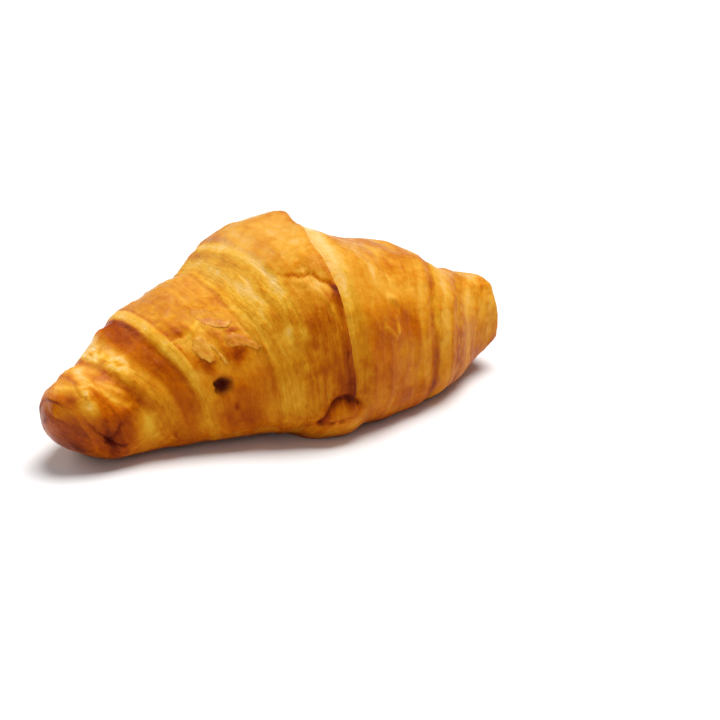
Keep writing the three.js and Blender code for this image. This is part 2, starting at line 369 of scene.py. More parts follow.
def laminated_at(onto, share, angle):
    """How much of the opened, layered dough shows at each place, from 0 to 1."""
    shown = 0.95 * within(share, -0.03, 1.0, 0.12)
    low_front = smooth((50 - angle) / 20) * (angle < 90)
    low_right = within(share, 1.0, 3.0, 0.3) * (onto[FIRST_RIGHT] > 0) * low_front
    shown = np.maximum(shown, 0.65 * low_right)
    for index, above, below, strength in (
        (SECOND_RIM, 3.2, 0.2, 0.8), (THIRD_RIM, 4.6, 1.0, 0.8), (FOURTH_RIM, 1.4, 3.0, 0.5),
        (TIP_RIM, 0.8, 0.5, 0.3), (FIRST_RIGHT, 0.3, 6.5, 0.9), (SECOND_RIGHT, 0.6, 3.6, 0.7),
        (THIRD_RIGHT, 0.6, 3.6, 0.7),
    ):
        strip = within(onto[index], -below, above, 1.2)
        shown = np.maximum(shown, strength * strip)
    return shown


def rim_relief(onto, angle, cx, cy):
    """How far the rims of the layers raise the crust, and how far their lips lean over."""
    raised = np.zeros(angle.shape)
    leaning = np.zeros(angle.shape)
    for i, (side, step, _) in enumerate(RIMS):
        uneven = 1.0 + 0.28 * noise(cx * 2.5, cy * 2.5, 1.7 * i, 21, 2)
        if i in (SECOND_RIM, FIRST_RIGHT):
            # These two lie nearly flush at the front, near the tray
            uneven = uneven * (0.4 + 0.6 * smooth((np.where(angle > 180, 90, angle) + 5) / 65))
        if i == TIP_RIM:
            # Only the upper side of the tip's face has a lip
            uneven = uneven * (0.2 + 0.8 * smooth((angle - 25) / 45) * smooth((200 - angle) / 50))
        if i in (SECOND_RIM, THIRD_RIM):
            # These two flatten out on top
            uneven = uneven * (1 - 0.65 * smooth((angle - 62) / 30) * smooth((200 - angle) / 40))
        share = np.where(onto[i] > 0, LIP_SHARE, RIM_FOOT[i])
        reach = np.where(onto[i] > 0, LIP_REACH, FOOT_REACH)
        fall = np.exp(-np.abs(onto[i]) / reach)
        raised += step * uneven * share * np.tanh(onto[i] / RIM_SOFTNESS[i]) * fall
        if i in SHARP_RIMS:
            raised -= 0.06 * step * uneven * bell(onto[i] + 0.75, 0.55)
            overhang = 0.12 * bell(onto[i] - 0.45, 0.6) - 0.06 * bell(onto[i] + 0.8, 0.5)
            leaning += side * step * uneven * overhang
    return raised, leaning


def surface(along, angle):
    """The crust's points in millimetres, and the fields that its relief and its material share."""
    along = np.asarray(along, float)
    angle = np.asarray(angle, float)
    turn = np.radians(angle)
    cos, sin = np.cos(turn), np.sin(turn)
    height, width = height_at(along), width_at(along)
    girth = girth_at(along)
    size = 0.35 + 0.65 * np.minimum(1.0, height / 30.0)
    clear = 0.15 + 0.85 * smooth((sin + 0.95) / 0.6)
    across = wound(along, angle)
    onto = [onto_rim(i, along, angle) for i in range(len(RIMS))]

    # The tucked tail lies over the rims
    tail_across = np.abs(along - TAIL_ALONG) / (TAIL_WIDTH / 2)
    low = smooth((angle + 88.0) / 25.0) * (angle < 200)
    lobe = np.exp(-(tail_across ** 4)) * smooth((TAIL_TOP - angle) / 12.0) * low
    raised, leaning = rim_relief(onto, angle, cos, sin)
    raised = raised * size * clear * (1 - 0.9 * lobe)
    leaning = leaning * size * clear * (1 - lobe)

    # The ledges of the first left opening, and the torn edge of the cap above them
    share, gap = opening(along, angle)
    wave = 0.8 * noise(cos * 3.2, sin * 3.2, 4.4, 23, 2) + 0.35 * noise(cos * 11, sin * 11, 2.2, 24, 2)
    for n, (level, step) in enumerate(LEDGES):
        ragged = wave + 0.4 * noise(cos * 6, sin * 6, 3.0 * n, 25, 2)
        raised += ledge((share - level) * gap + 0.6 * ragged, step, LEDGE_REACH) * clear
    cap_there = smooth((angle - 60) / 8) * smooth((262 - angle) / 20)
    cap_edge = (share - 1.0) * gap + wave
    raised += ledge(cap_edge, CAP_STEP, 3.0) * cap_there * clear
    shaky = 1.6 * noise(along / 2.6, angle / 7.0, 7.7, 26, 2)
    crack, beside, way = along_line(along, angle + shaky, CRACK, 0.6)
    crack_there = smooth(way / 0.40) * smooth((1.02 - way) / 0.1)
    raised += ledge(beside, 0.6, 2.0) * crack_there - 0.30 * crack * crack_there

    seam, from_seam, way = along_line(along, angle, TAIL_SEAM, 1.0)
    seam = seam * smooth((1.02 - way) / 0.3)
    by_seam = bell(from_seam, 3.2) * smooth((1.02 - way) / 0.4)
    knob, _, _ = along_line(along, angle, KNOB_CREASE, 0.9)
    raised += TAIL_BULGE * lobe - 1.0 * seam - 0.35 * knob

    # Streaks of the layered dough, which run with the rims
    laminated = laminated_at(onto, share, angle) * (1 - 0.85 * lobe)
    sx, sy = cos * girth / STREAK_LENGTH, sin * girth / STREAK_LENGTH
    streak = noise(across / 0.8, sx, sy, 31, 3)
    broad = noise(across / 2.4, sx * 0.5, sy * 0.5, 32, 2)
    raised += ((0.05 + 0.10 * laminated) * streak + 0.20 * broad) * clear * (1 - 0.8 * lobe)

    # Blisters, crinkles and gentle unevenness of the skin
    px, py = cos * girth, sin * girth
    lumps = noise(along / 9.0, px / 9.0, py / 9.0, 41, 2)
    crinkle = 1 - 2 * np.abs(noise(along / 3.4, px / 3.4, py / 3.4, 43, 2))
    pores = noise(along / 1.7, px / 1.7, py / 1.7, 42, 2)
    skin = 1 - 0.7 * laminated
    raised += (0.40 * lumps + 0.13 * crinkle * skin + 0.07 * pores - 0.35) * clear * size
    for a, g, radius, rise in BLISTERS:
        raised += rise * near(along, angle, (a, g), radius * 0.62) * clear

    folds = np.zeros(along.shape)
    for line in FOLDS:
        fold, _, way = along_line(along, angle, line, 0.55)
        folds = np.maximum(folds, fold * smooth(way / 0.12) * smooth((1 - way) / 0.12))
    raised += 0.35 * folds

    ragged = 0.5 * noise(along / 1.8, px / 1.8, py / 1.8, 44, 2)
    hole = near(along + ragged, angle + 1.5 * ragged, CRUST_HOLE, 2.9, sharp=3)
    brim = near(along, angle, CRUST_HOLE, 3.4)
    pit = near(along, angle, DARK_PIT, 1.7)
    creases = np.zeros(along.shape)
    for line in PIT_CREASES:
        crease, _, _ = along_line(along, angle, line, 0.55)
        creases = np.maximum(creases, crease)
    pits = np.zeros(along.shape)
    for place in SEAM_PITS:
        pits = np.maximum(pits, near(along, angle, place, 0.95))
    raised += 0.5 * brim - 1.9 * hole - 1.2 * pit - 0.35 * creases - 0.8 * pits

    placed = np.clip(along + leaning, -LEFT_HORN, RIGHT_HORN)
    x = np.interp(placed, SPINE_ALONG, SPINE_X)
    y = np.interp(placed, SPINE_ALONG, SPINE_Y)
    heading = heading_at(placed)
    belt = height * BELT_SHARE
    top = sin > 0
    fullness = np.where(top, TOP_FULLNESS, BOTTOM_FULLNESS)
    out = np.sign(cos) * np.abs(cos) ** fullness * width / 2
    over = (height - belt) * np.abs(sin) ** TOP_ROUNDNESS
    up = np.where(top, over, -belt * np.abs(sin) ** BOTTOM_ROUNDNESS)
    aside = out + raised * cos
    z = rise_at(along) + belt + up + raised * sin
    points = np.stack([x + aside * np.sin(heading), y - aside * np.cos(heading), np.maximum(z, 0.0)], -1)
    fields = {
        "onto": onto, "share": share, "across": across, "streak": streak, "broad": broad,
        "laminated": laminated, "lumps": lumps, "crinkle": crinkle, "pores": pores,
        "crack": crack * crack_there, "beside": beside, "crack_there": crack_there,
        "cap_edge": cap_edge, "cap_there": cap_there, "hole": hole, "brim": brim, "pit": pit,
        "creases": creases, "pits": pits, "seam": seam, "by_seam": by_seam, "knob": knob, "lobe": lobe,
        "sin": sin, "cos": cos, "girth": girth, "z": z,
    }
    return points, fields


# Rings follow the sharp rims, and lie at these distances from each
STEEP = (-1.4, -1, -0.7, -0.45, -0.25, -0.08, 0.08, 0.25, 0.45, 0.7, 1, 1.4)


def ring_lines(angle):
    rims = [ragged_rim(i, angle) for i in SHARP_RIMS]
    bounds = [np.full(angle.shape, -LEFT_HORN)] + rims + [np.full(angle.shape, RIGHT_HORN)]
    gaps = [b - a for a, b in zip(bounds[:-1], bounds[1:])]
    spans = [float(np.mean(g)) for g in gaps]
    free = RINGS - len(STEEP) * len(rims)
    counts = [max(5, int(round(free * s / sum(spans)))) for s in spans]
    widest = int(np.argmax(spans))
    counts[widest] += free - sum(counts)
    reach = [np.minimum(1.0, np.minimum(gaps[n], gaps[n + 1]) / 4.0) for n in range(len(rims))]
    lines = []
    for n, count in enumerate(counts):
        first, last = n == 0, n == len(counts) - 1
        start = bounds[n] + (0.0 if first else STEEP[-1] * reach[n - 1])
        end = bounds[n + 1] + (0.0 if last else STEEP[0] * reach[n])
        for k in range(1, count + 1):
            t = k / (count + 1)
            if first:
                t = t ** END_CROWDING
            if last:
                t = 1 - (1 - t) ** END_CROWDING
            lines.append(start + (end - start) * t)
        if not last:
            lines += [bounds[n + 1] + offset * reach[n] for offset in STEEP]
    return np.array(lines)


def crust_grid():
    even = -90 + 360 * np.arange(AROUND) / AROUND
    angle = even - np.degrees(FRONT_CROWDING * np.sin(np.radians(even - UPPER_FRONT)))
    angle = np.where(angle >= 270, angle - 360, angle)
    lines = ring_lines(angle)
    return lines, np.broadcast_to(angle, lines.shape)


def crust_faces(rings, around):
    ring = np.arange(rings - 1)[:, None] * around
    j = np.arange(around)[None, :]
    k = (j + 1) % around
    return np.stack([ring + j, ring + around + j, ring + around + k, ring + k], -1).reshape(-1, 4)


# Patches of the crust: place, radius, squash, and how much more or less it is baked there
PATCHES = (
    # browner
    ((-9.8, 86.3), 2.6, 1, 0.06), ((-11.2, 79.5), 2.4, 1, 0.06), ((-38, 86), 11, 0.8, 0.03),
    ((-8.9, 29.6), 4.5, 0.7, 0.10), ((-9.4, 14.9), 5, 0.6, 0.08), ((-7, 3), 5, 0.8, 0.05),
    ((20.5, 27), 6, 0.8, 0.10), ((16.5, 17), 6, 0.8, 0.11), ((24.5, 28), 4.5, 0.9, 0.08),
    ((26.5, 21), 4.5, 0.8, 0.12), ((11, 17), 3.6, 0.8, 0.06), ((12, 7), 5, 0.7, 0.10),
    ((28, 72), 4, 0.8, 0.09), ((25.5, 61), 2.6, 1, 0.07), ((30.5, 62), 2.4, 0.8, 0.07),
    ((-30.5, 3), 9, 0.8, 0.09), ((-35, -8), 6, 0.8, 0.05),
    ((-44.2, 34), 2.2, 0.7, 0.24), ((-42.4, 25.5), 2.4, 0.8, 0.20), ((-32.6, 30.5), 3, 0.8, 0.24),
    ((-30, 33.5), 2, 1.2, 0.14), ((-30.9, 49), 1.8, 1, 0.16), ((-37, 49), 2, 0.9, 0.18),
    ((-33, 33), 3.4, 0.8, 0.08), ((-31.6, 49), 2, 1.6, 0.18), ((-46.8, 58.5), 2.6, 0.8, 0.22),
    ((-35, -1.2), 0.8, 1, 0.25), ((-76, 54), 2.2, 0.7, 0.12), ((-76, 36), 2.6, 0.8, 0.14),
    ((-82, 66), 2, 0.7, 0.16), ((-79, -20), 5, 0.7, 0.07), ((-72.5, 12), 6, 0.8, 0.15),
    ((-66.8, 34), 3, 0.6, 0.12), ((-67.5, 22), 5, 0.8, 0.12), ((-71, -14), 5, 0.8, 0.06),
    ((-70, 82), 3, 0.6, 0.10), ((-83.5, 130), 3, 0.6, 0.08),
    ((-36, 150), 9, 0.8, 0.10), ((20, 160), 12, 0.7, 0.14), ((-8, 152), 9, 0.6, 0.12),
    ((45, 130), 8, 0.8, 0.10), ((-60, 165), 7, 0.8, 0.10), ((62, 150), 7, 0.8, 0.12),
    ((8, 205), 12, 0.7, 0.12), ((-30, 200), 9, 0.7, 0.10), ((52, 10), 7, 0.7, 0.06),
    # paler
    ((-42, 44), 3.4, 0.8, -0.10), ((-36.5, 60), 5, 1.2, -0.08), ((-3.5, 74), 8, 0.8, -0.08),
    ((-20.6, -4), 5.5, 0.7, -0.12), ((-16, -14), 6, 0.8, -0.12), ((-61, -8), 5, 0.8, -0.05),
    ((-44, -8), 3.6, 0.6, -0.10), ((-16.6, 33.2), 1.2, 0.6, -0.18), ((-13, 27.5), 1.1, 0.6, -0.20),
    ((-61.8, 4.4), 2.4, 0.8, -0.14), ((-5.4, 46), 2.2, 1.1, -0.12), ((29, 83), 2.2, 0.35, -0.12),
    ((17, 56), 2.2, 0.3, -0.12), ((8.2, 56.6), 2.4, 0.3, -0.10), ((20.4, 38.6), 1.8, 1, -0.18),
    ((-3, 100), 8, 0.8, -0.03), ((24, 50), 2.6, 0.7, -0.10), ((-4.5, 108), 7, 0.8, -0.05),
    ((-79.1, 26), 1.9, 0.9, -0.22), ((-71, 104), 4, 0.7, -0.10), ((-63.6, -6.3), 4, 0.8, -0.10),
    ((15, 95), 7, 0.6, -0.07), ((-24, 150), 4, 0.6, -0.12), ((34, 140), 4, 0.5, -0.10),
)
# The skin is evenly baked here, with few blotches: place and radius
EVEN_PLACES = (
    ((-30, 2), 10), ((-2, -18), 6), ((-1, 14), 6), ((19, 22), 11),
    ((-70, 8), 6), ((-84, 20), 7),
)
# The skin is yellower here: place and radius
YELLOW_PLACES = (
    ((-62.6, -2.4), 7), ((-20.6, -4), 8), ((-44, -8), 6), ((-16, -14), 7),
    ((-38, 74), 14),
)
# Stretched, paler skin along the layers and on the folds
PALE_TEARS = (
    # line, width, how much paler
    (((-68.5, 108), (-72.3, 90.8), (-77.1, 71.9), (-79.4, 52.7), (-79.2, 24)), 1.7, -0.34),
    (((-79.6, 112), (-80, 89), (-79.9, 67.4), (-79.2, 50)), 1.3, -0.24),
    (((-74.8, 76), (-74.3, 70.1), (-72.8, 55.1), (-70.1, 35.3), (-66, 24)), 1.1, -0.24),
    (((-71.6, 80), (-70, 60), (-67.4, 44), (-64, 30)), 0.8, -0.14),
    (LEFT_FOLD, 0.8, -0.16),
    (LEFT_FOLD_END, 0.7, -0.16),
    (((-2.8, 36), (-2.4, 29), (-1.9, 20)), 0.6, -0.10),
    (CAP_FOLD, 0.7, -0.10),
    (RIGHT_FOLD, 0.8, -0.24),
    (RIGHT_FOLD_END, 0.8, -0.24),
    (((33.9, 87.5), (26, 72), (18, 56), (13.5, 42)), 1.2, -0.10),
    (((12, 80), (8.5, 62), (6.5, 42), (6, 20)), 1.4, -0.08),
)
# How much the tail and the marks in the crust add to the tone. The darkening in the seam, the knob's crease,
# the pits and the creases is partly browner crust and partly painted shade in those grooves
MARK_TONES = (
    ("lobe", -0.07), ("seam", 0.24), ("by_seam", 0.07), ("knob", 0.12), ("pits", 0.22), ("creases", 0.12),
    ("brim", 0.10),
)


def opening_tone(angle, f):
    """The first left opening: pale crests and golden lines between the lower skin and the cap."""
    share, streak = f["share"] + 0.07 * f["lumps"] + 0.05 * f["broad"], f["streak"]
    upper = smooth((angle - 36) / 14) * smooth((250 - angle) / 40)
    inside = within(share, 0.0, 1.0, 0.1)
    tone = inside * (-0.07 * upper + 0.02 + 0.04 * streak)
    tone = tone - 0.18 * bell(share - 0.87, 0.09) * upper
    tone = tone - 0.13 * bell(share - 0.42, 0.11) * upper * smooth((135 - angle) / 30)
    tone = tone + 0.06 * bell(share - 0.63, 0.05) * upper
    tone = tone + 0.06 * bell(share - 0.20, 0.05) + 0.08 * bell(share + 0.01, 0.05)
    tone = tone + 0.06 * within(f["cap_edge"], -0.1, 0.9, 0.5) * f["cap_there"]
    return tone


def left_tone(angle, f):
    """The rims left of the opening: a pale torn edge over a darker foot on each, partly browner crust and
    partly painted shade below the step.
    """
    onto, streak = f["onto"], f["streak"]
    high = smooth((angle - 10) / 30)
    edge = onto[SECOND_RIM] + 0.35 * f["lumps"]
    tone = -(0.06 + 0.11 * high) * within(edge, 0.5, 3.6, 1.2) * (1 + 0.6 * streak)
    tone = tone + 0.07 * (bell(edge - 1.3, 0.28) + bell(edge - 2.4, 0.28))
    tone = tone + 0.12 * bell(edge - 4.1, 0.7) * high
    # Below the second rim: a brown band, partly browner crust and partly painted shade under the step,
    # darkest next to the edge
    tone = tone + (0.15 + 0.05 * high) * within(edge, -5.6, 0.6, 1.8) * smooth((angle + 12) / 20)
    tone = tone + 0.04 * within(edge, -3.4, 0.4, 1.0) * smooth((angle - 15) / 20)
    tone = tone + 0.10 * within(edge, -6.8, 0.0, 1.6) * smooth((angle - 72) / 20) * smooth((150 - angle) / 40)
    edge = onto[THIRD_RIM] + 0.9 * f["lumps"]
    mottled = 1 + 1.3 * f["pores"] + 0.5 * f["lumps"]
    tone = tone + 0.06 * within(edge, 0.0, 7.5, 3.0)
    paler = 0.23 * within(edge, 0.9, 6.2, 2.0) * (0.05 + 0.95 * smooth((angle - 32) / 55))
    tone = tone - paler * smooth((230 - angle) / 120) * mottled
    # A darker line at the third rim's foot: partly browner crust, partly painted shade in the crease
    tone = tone + 0.13 * within(edge, -1.8, 0.6, 1.4) * smooth((angle - 5) / 20)
    edge = onto[FOURTH_RIM]
    tone = tone + 0.08 * within(edge, 0.0, 2.6, 1.2)
    edge = onto[TIP_RIM]
    tone = tone + 0.09 * smooth((0.3 - edge) / 0.6)
    tone = tone + 0.20 * bell(edge - 0.03, 0.14) * smooth((angle - 55) / 40) * smooth((200 - angle) / 30)
    tone = tone + 0.07 * within(edge, 0.1, 1.8, 0.8) * smooth((angle + 20) / 30) * smooth((190 - angle) / 30)
    return tone


def right_tone(angle, f):
    """The right rims: pale dough that opened late, and darker creases, partly browner crust and partly
    painted shade.
    """
    onto, streak = f["onto"], f["streak"]
    front = angle < 120
    edge = onto[FIRST_RIGHT]
    opened = smooth((angle - 5) / 70)
    tone = -(0.09 + 0.19 * opened) * within(edge, -2.2 - 4.4 * opened, -0.2, 1.2 + 3.4 * opened)
    tone = tone + 0.08 * within(edge, 0.0, 1.8, 0.9) * opened
    tone = tone + 0.08 * bell(edge - 0.3, 0.4) * smooth((90 - angle) / 30)
    tone = tone + 0.14 * within(edge, -0.1, 3.0, 1.8) * smooth((60 - angle) / 26) * front
    inner = within(edge, 0.0, 12.0, 4.0) * smooth((48 - angle) / 22) * smooth((angle + 16) / 18) * front
    tone = (tone + inner * (0.07 + 0.03 * streak)) * (1 - f["lobe"])
    edge = onto[SECOND_RIGHT]
    # Darker bands at the second and third right creases: partly browner crust and partly painted shade in the
    # creases
    tone = tone + 0.17 * bell(edge + 0.3, 1.9) - 0.12 * bell(edge + 6.3, 1.9) - 0.06 * bell(edge - 4.0, 1.6)
    edge = onto[THIRD_RIGHT]
    tone = tone + 0.10 * bell(edge, 2.2) - 0.12 * bell(edge + 8.0, 2.2) + 0.08 * bell(edge + 15.0, 2.6)
    tone = tone - 0.03 * smooth((f["across"] - 34) / 10)
    return tone


def baked_and_shaded(along, angle, f, even):
    """How browned each place is, with painted shade added: 0 pale dough, 1 dark brown."""
    # Painted shade: the crust is darker low on the front and on the back, where less light falls
    painted_shade_front_low = smooth((42 - angle) / 70) * (angle < 120)
    painted_shade_back_low = smooth((angle - 140) / 60)
    blotches = 0.07 * f["lumps"] + 0.04 * f["pores"] + 0.03 * f["crinkle"] + 0.04 * f["broad"]
    tone = 0.48 + blotches * (1 - 0.7 * even) + 0.03 * f["streak"]
    tone = tone + 0.07 * smooth((-66 - along) / 10)
    # Painted shade on the lower sides, and a little more below the top and at the front's bottom
    tone = tone + 0.15 * np.maximum(painted_shade_front_low, painted_shade_back_low) + 0.02 * smooth((80 - angle) / 20)
    tone = tone + 0.04 * smooth((4 - angle) / 20) * (angle < 120)
    tone = tone + opening_tone(angle, f) + left_tone(angle, f) + right_tone(angle, f)
    for place, radius, squash, change in PATCHES:
        tone = tone + change * near(along, angle, place, radius, squash)
    uneven = 0.75 + 0.5 * f["pores"]
    for line, width, change in PALE_TEARS:
        tear, _, way = along_line(along, angle, line, width)
        tone = tone + change * tear * uneven * smooth(way / 0.1) * smooth((1 - way) / 0.1)
    # The crack: red-brown along its line, with a pale skin just below it
    tone = tone + 0.22 * f["crack"] - 0.10 * within(f["beside"], -2.6, -0.7, 0.8) * f["crack_there"]
    for mark, change in MARK_TONES:
        tone = tone + change * f[mark]
    # The underside, baked on the tray
    tone = tone + 0.10 * smooth((1.8 - f["z"]) / 2.4) * (f["sin"] < 0)
    return np.clip(tone, 0.0, 1.0)


def doughy_at(along, angle, f):
    """How yellow, rather than orange, the crust is at each place."""
    yellow = f["laminated"] * 0.9
    for place, radius in YELLOW_PLACES:
        yellow = np.maximum(yellow, 0.85 * near(along, angle, place, radius, 0.7))
    yellow = np.maximum(yellow, smooth((0.3 - f["onto"][TIP_RIM]) / 0.6))
    return np.clip(yellow + 0.15 * f["lumps"], 0.0, 1.0)


def even_at(along, angle, f):
    """How free of blotches the crust is at each place, such as the brown band below the second left rim."""
    even = 0.9 * within(f["onto"][SECOND_RIM], -7.0, 0.5, 2.0)
    for place, radius in EVEN_PLACES:
        even = np.maximum(even, near(along, angle, place, radius, 0.8))
    return even


def glossy_at(along, angle, f):
    """How much egg wash shines on the crust: most of it on top, and little on the opened dough."""
    turned = np.where(angle > 180, 360 - angle, angle)
    band = within(f["onto"][SECOND_RIM], -7.0, 0.5, 2.0)
    tip = smooth((-76.0 - along) / 7.0)
    top = smooth((turned - 60) / 45) * (1 - 0.7 * f["laminated"]) * (1 - 0.95 * band) * (1 - 0.9 * tip)
    return np.clip(0.12 + 0.88 * np.maximum(top, 0.16 * tip), 0.0, 1.0)


def float_attribute(mesh, name, values):
    layer = mesh.attributes.new(name, "FLOAT", "POINT")
    layer.data.foreach_set("value", np.asarray(values, np.float32).ravel())


def vector_attribute(mesh, name, values):
    layer = mesh.attributes.new(name, "FLOAT_VECTOR", "POINT")
    layer.data.foreach_set("vector", np.asarray(values, np.float32).ravel())


def new_object(name, points, faces):
    mesh = bpy.data.meshes.new(name)
    mesh.from_pydata((np.asarray(points) * 0.001).tolist(), [], faces)
    mesh.validate()
    for polygon in mesh.polygons:
        polygon.use_smooth = True
    mesh.update()
    made = bpy.data.objects.new(name, mesh)
    bpy.context.scene.collection.objects.link(made)
    return made


def make_crust():
    along, angle = crust_grid()
    points, f = surface(along, angle)
    rings, around = along.shape
    ends = []
    for end in (-LEFT_HORN, RIGHT_HORN):
        x, y = np.interp(end, SPINE_ALONG, SPINE_X), np.interp(end, SPINE_ALONG, SPINE_Y)
        ends.append((x, y, float(rise_at(np.array(end)))))
    flat = np.concatenate([points.reshape(-1, 3), np.array(ends)])
    faces = crust_faces(rings, around).tolist()
    left, right = rings * around, rings * around + 1
    last = (rings - 1) * around
    for j in range(around):
        k = (j + 1) % around
        faces.append([left, j, k])
        faces.append([right, last + k, last + j])
    crust = new_object("croissant_crust", flat, faces)

    def with_ends(values):
        values = values.reshape(rings * around, -1)
        return np.concatenate([values, values[:around].mean(0)[None], values[-around:].mean(0)[None]])

    even = even_at(along, angle, f)
    looks = {
        "tone": baked_and_shaded(along, angle, f, even),
        "doughy": doughy_at(along, angle, f),
        "laminated": f["laminated"],
        "even": even,
        "glossy": glossy_at(along, angle, f),
        # Charred crust and painted shade: the hole and the pits are darkened toward near-black, partly as
        # shade in the hollows
        "char_and_hollow_shade": np.clip(np.maximum(f["hole"], 0.75 * f["pit"]) + 0.35 * f["pits"], 0, 1),
    }
    for name, values in looks.items():
        float_attribute(crust.data, name, with_ends(values))
    round_y, round_z = f["cos"] * f["girth"] / STREAK_LENGTH, f["sin"] * f["girth"] / STREAK_LENGTH
    vector_attribute(crust.data, "wind", with_ends(np.stack([f["across"], round_y, round_z], -1)))
    return crust


# Loose flakes: thin ragged sheets of the outermost layer, lifted at one side
FLAKES = (
    # tone, lift, direction of the lifted side in degrees, seed, corners as (along, around)
    (0.56, 0.18, 300, 1, (
        (-38.4, 66), (-34.5, 63), (-29.2, 55.4), (-31.6, 51.4), (-35, 54), (-37.6, 58),
    )),
    (0.47, 0.24, 255, 2, (
        (-43.6, 49), (-41, 50.6), (-39.5, 43), (-39.7, 29.4), (-41.4, 28.2), (-43.4, 33.4), (-45, 41.6),
    )),
    (0.57, 0.24, 280, 3, (
        (-34.5, 45), (-31.2, 47.4), (-28.3, 42), (-25, 32.4), (-25.8, 29.7), (-28.6, 35.4), (-32.6, 36.6),
        (-34.2, 36.8),
    )),
    (0.48, 0.18, 270, 4, (
        (-39.9, 43), (-38.9, 42.4), (-37.2, 34), (-35.8, 25.6), (-36.6, 25.4), (-38.2, 33.4),
    )),
    (0.56, 0.45, 90, 10, (
        (-36, 121), (-33, 126), (-28, 131), (-24.6, 129.5), (-27.6, 124), (-31.6, 119),
    )),
    (0.53, 0.45, 60, 11, ((16.5, 118), (17.5, 127), (22.5, 130), (24, 121), (20, 116))),
    (0.55, 0.45, 120, 13, ((-10, 137), (-8.5, 144), (-4.5, 146), (-3.8, 138), (-7, 134))),
    (0.54, 0.45, 40, 15, ((24, 146), (25, 153), (29.5, 155), (31, 149), (27.5, 144))),
)
FLAKE_CIRCLES = 9
FLAKE_SPOKES = 56
FLAKE_THICKNESS = 0.10


def flake_rim(corners, seed):
    """A flake's middle, the ragged line round it, and how many millimetres of crust a radian spans there."""
    girth = float(girth_at(np.mean([c[0] for c in corners])))
    flat = np.array([(a, math.radians(g) * girth) for a, g in corners])
    closed = np.concatenate([flat, flat[:1]])
    sides = np.linalg.norm(np.diff(closed, axis=0), axis=1)
    reached = np.concatenate([[0.0], np.cumsum(sides)])
    even = np.linspace(0.0, reached[-1], FLAKE_SPOKES, endpoint=False)
    rim = np.stack([np.interp(even, reached, closed[:, k]) for k in (0, 1)], -1)
    middle = rim.mean(0)
    rough = 1 + 0.10 * noise(rim[:, 0] / 0.7, rim[:, 1] / 0.7, seed, 61, 2)
    return middle, (rim - middle) * rough[:, None], girth


def make_flakes():
    points, faces, tones = [], [], []
    circles, spokes = FLAKE_CIRCLES, FLAKE_SPOKES
    radii = np.linspace(0, 1, circles + 1)[1:]
    for tone, lift, lifted_side, seed, corners in FLAKES:
        middle, rim, girth = flake_rim(corners, seed)
        out = np.concatenate([np.zeros((1, 2)), (radii[:, None, None] * rim).reshape(-1, 2)])
        r = np.concatenate([[0.0], np.repeat(radii, spokes)])
        along, angle = middle[0] + out[:, 0], np.degrees((middle[1] + out[:, 1]) / girth)
        base, _ = surface(along, angle)
        nudge = 0.4
        toward = surface(along + nudge, angle)[0] - base
        beyond = surface(along, angle + nudge)[0] - base
        normal = np.cross(beyond, toward)
        normal /= np.linalg.norm(normal, axis=-1, keepdims=True)
        outward = normal.mean(0)
        if outward[2] < 0:
            normal, outward = -normal, -outward
        normal = 0.5 * normal + 0.5 * outward / np.linalg.norm(outward)
        normal /= np.linalg.norm(normal, axis=-1, keepdims=True)
        side = math.radians(lifted_side)
        reach = np.abs(rim @ np.array([math.cos(side), math.sin(side)])).max()
        lifted = smooth((out @ np.array([math.cos(side), math.sin(side)]) / reach + 0.2) / 1.2)
        wavy = 0.07 * noise(out[:, 0], out[:, 1], seed, 90, 2)
        up = 0.02 + 0.14 * (1 - r ** 3) + lift * lifted * r + wavy
        start, count = len(points), len(r)
        points += (base + normal * up[:, None]).tolist()
        points += (base + normal * (up - FLAKE_THICKNESS)[:, None]).tolist()
        shade = tone - 0.05 * lifted + 0.07 * noise(out[:, 0] / 1.5, out[:, 1] / 1.5, seed, 95, 2)
        tones += shade.tolist() * 2
        for j in range(spokes):
            k = (j + 1) % spokes
            faces.append([start, start + 1 + j, start + 1 + k])
            faces.append([start + count, start + count + 1 + k, start + count + 1 + j])
            for i in range(circles - 1):
                q, p = start + 1 + i * spokes, start + 1 + (i + 1) * spokes
                faces.append([q + j, p + j, p + k, q + k])
                faces.append([count + q + j, count + q + k, count + p + k, count + p + j])
            edge = start + 1 + (circles - 1) * spokes
            faces.append([edge + j, edge + count + j, edge + count + k, edge + k])
    flakes = new_object("loose_flakes", np.array(points), faces)
    float_attribute(flakes.data, "tone", tones)
    return flakes


# Materials
def value_of(tree, socket, value):
    if isinstance(value, (int, float, tuple)):
        socket.default_value = value
    else:
        tree.links.new(value, socket)


def maths(tree, operation, *values):
    node = tree.nodes.new("ShaderNodeMath")
    node.operation = operation
    for socket, value in zip(node.inputs, values):
        value_of(tree, socket, value)
    return node.outputs[0]


def weighted_sum(tree, start, parts):
    """start plus each (value, weight): how far the value is over a half, times the weight."""
    total = start
    for value, weight in parts:
        total = maths(tree, "MULTIPLY_ADD", maths(tree, "SUBTRACT", value, 0.5), weight, total)
    return total


def attribute(tree, name, output="Fac"):
    node = tree.nodes.new("ShaderNodeAttribute")
    node.attribute_name = name
    return node.outputs[output]


def noise_node(tree, vector, scale, detail, roughness, distortion=0.0):
    node = tree.nodes.new("ShaderNodeTexNoise")
    node.inputs["Scale"].default_value = scale
    node.inputs["Detail"].default_value = detail
    node.inputs["Roughness"].default_value = roughness
    node.inputs["Distortion"].default_value = distortion
    tree.links.new(vector, node.inputs["Vector"])
    return node.outputs["Fac"]


def linear(r, g, b):
    """The linear colour of three screen values from 0 to 255."""
    values = [c / 255.0 for c in (r, g, b)]
    return tuple(c / 12.92 if c <= 0.04045 else ((c + 0.055) / 1.055) ** 2.4 for c in values) + (1.0,)


